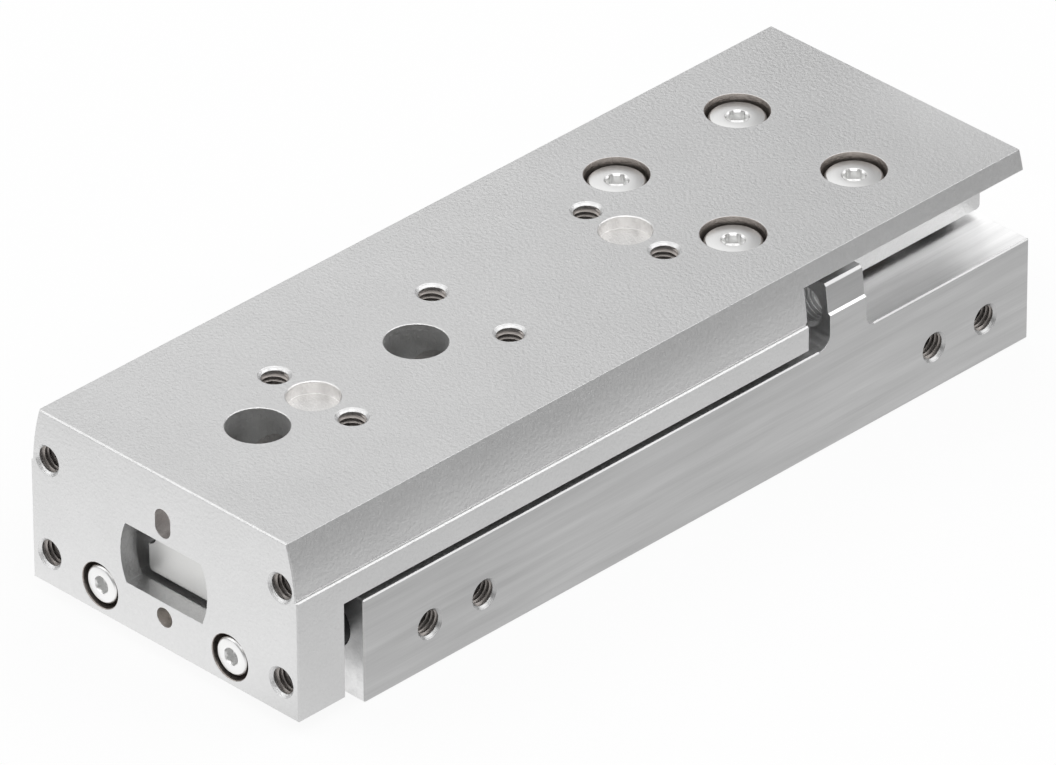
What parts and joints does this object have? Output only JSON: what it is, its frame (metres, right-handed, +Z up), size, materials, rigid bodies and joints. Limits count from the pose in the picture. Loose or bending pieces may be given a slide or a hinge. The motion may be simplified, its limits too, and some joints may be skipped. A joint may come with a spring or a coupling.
{
  "type": "pneumatic mini slide",
  "caption": "Flat pneumatic slide: a table with a front yoke on a ball guide, driven by twin rods out of a brushed housing.",
  "frame": {"origin": "middle of the base of the whole slide's box, table retracted", "axes": "+X is the way the table and yoke drive out, +Y is the side with the open air ports, +Z is up, out of the table"},
  "size_m": [0.0948, 0.0346, 0.02],
  "materials": {
    "table_aluminium": "fine matt grain",
    "housing_aluminium": "brushed lengthwise",
    "rail_steel": "ground",
    "screw_steel": "satin stainless",
    "ball_steel": "polished",
    "rod_steel": "polished",
    "spring_steel": "dark spring steel",
    "plug_aluminium": "turned",
    "piston_aluminium": "turned",
    "bearing_bronze": "sintered bronze",
    "cap_plastic": "moulded, black",
    "seal_rubber": "moulded rubber",
    "buffer_rubber": "elastic bumper",
    "magnet_black": "bonded magnet"
  },
  "bodies": {
    "housing": {"housing": "housing_aluminium", "guide_rail": "rail_steel", "rail_screws": "screw_steel", "port_plugs": "screw_steel", "rod_bearing_left": "bearing_bronze", "rod_bearing_right": "bearing_bronze", "rod_seal_left": "seal_rubber", "rod_seal_right": "seal_rubber", "rod_wiper_left": "seal_rubber", "rod_wiper_right": "seal_rubber", "front_cushion_left": "seal_rubber", "front_cushion_right": "seal_rubber", "rear_cushion_left": "seal_rubber", "rear_cushion_right": "seal_rubber", "cylinder_plug_left": "plug_aluminium", "cylinder_plug_right": "plug_aluminium", "plug_seal_left": "seal_rubber", "plug_seal_right": "seal_rubber", "plug_circlip_left": "spring_steel", "plug_circlip_right": "spring_steel", "retract_buffer_left": "buffer_rubber", "retract_buffer_right": "buffer_rubber"},
    "slide": {"slide_table": "table_aluminium", "carriage_block": "rail_steel", "carriage_balls": "ball_steel", "end_cap_front": "cap_plastic", "end_cap_rear": "cap_plastic", "end_seal_front": "seal_rubber", "end_seal_rear": "seal_rubber", "end_cap_screws": "screw_steel", "carriage_screws": "screw_steel", "rod_screws": "screw_steel", "piston_nuts": "screw_steel", "piston_rod_left": "rod_steel", "piston_rod_right": "rod_steel", "piston_left": "piston_aluminium", "piston_right": "piston_aluminium", "piston_seals_left": "seal_rubber", "piston_seals_right": "seal_rubber", "piston_magnet_left": "magnet_black", "piston_magnet_right": "magnet_black"}
  },
  "joints": [
    {"name": "table_slide", "type": "slide", "parent": "housing", "child": "slide", "axis": [1, 0, 0], "range_m": [0, 0.04]}
  ]
}
